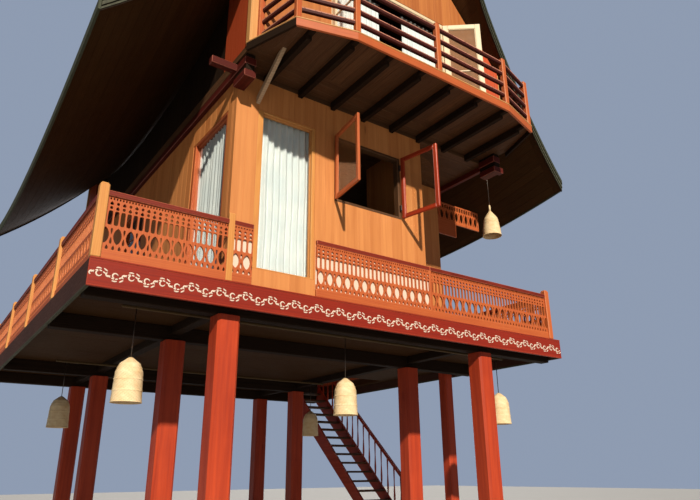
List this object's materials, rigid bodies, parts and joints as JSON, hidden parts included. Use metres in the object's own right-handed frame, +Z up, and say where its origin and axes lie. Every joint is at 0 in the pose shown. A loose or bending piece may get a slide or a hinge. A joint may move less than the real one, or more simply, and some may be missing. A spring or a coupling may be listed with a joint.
{
  "type": "stilt guest house with saddle roof",
  "caption": "Timber guest house raised on posts, with a veranda deck, pierced railings, a bowed balcony and a high saddle-shaped roof.",
  "frame": {"origin": "on the ground, under the middle of the roof's box", "axes": "+Z up, -Y towards the front with the balcony, +X to the right seen from the front"},
  "size_m": [8.2906, 12.4026, 12.1304],
  "materials": {
    "red_post": "red stained, satin varnish",
    "red_trim": "dark red paint with cream ornament",
    "orange_wall": "varnished upright boards",
    "orange_rail": "orange varnish",
    "brown_board": "oiled boards",
    "dark_board": "dark oiled timber",
    "cream_frame": "cream paint",
    "roof": "dark weathered roofing",
    "bamboo": "woven split bamboo",
    "glass": "clear window glass",
    "curtain": "plain white curtain cloth",
    "pale_trim": "weathered pale paint",
    "dark_metal": "dark hinges and hooks"
  },
  "bodies": {
    "root": {"post_left_1": "red_post", "post_left_2": "red_post", "post_left_3": "red_post", "post_left_4": "red_post", "post_right_1": "red_post", "post_right_2": "red_post", "post_right_3": "red_post", "post_right_4": "red_post", "side_post": "red_post", "cross_beam_1": "dark_board", "cross_beam_2": "dark_board", "cross_beam_3": "dark_board", "cross_beam_4": "dark_board", "deck_floor": "brown_board", "fascia_front": "red_trim", "fascia_sides_and_rear": "brown_board", "front_wall": "orange_wall", "left_wall": "orange_wall", "right_wall": "orange_wall", "rear_wall": "orange_wall", "recess_walls": "orange_wall", "front_tall_light": "orange_rail", "left_tall_light": "orange_rail", "left_window": "orange_rail", "right_window": "orange_rail", "rear_window": "orange_rail", "entrance_door": "orange_rail", "front_window_frame": "orange_rail", "front_casement_left": "orange_rail", "front_casement_right": "orange_rail", "upper_floor": "red_trim", "front_gable_wall": "orange_wall", "rear_gable_wall": "orange_wall", "upper_wall_left": "orange_wall", "upper_wall_right": "orange_wall", "upper_door": "cream_frame", "upper_rear_window": "orange_rail", "balcony_floor": "brown_board", "balcony_railing": "orange_rail", "roof_left": "roof", "roof_right": "roof", "ridge_cap": "roof", "ridge_beam": "brown_board", "eave_board_left": "roof", "eave_board_right": "roof", "barge_boards_front": "roof", "barge_boards_rear": "roof", "railing_left": "orange_rail", "railing_right": "orange_rail", "stairwell_railing_side": "orange_rail", "stairwell_railing_end": "orange_rail", "veranda_screen": "orange_rail", "entrance_stair": "brown_board", "stair_handrail": "red_post", "lamps_front": "bamboo", "lamps_rear": "bamboo", "veranda_lamp": "bamboo"}
  },
  "joints": []
}
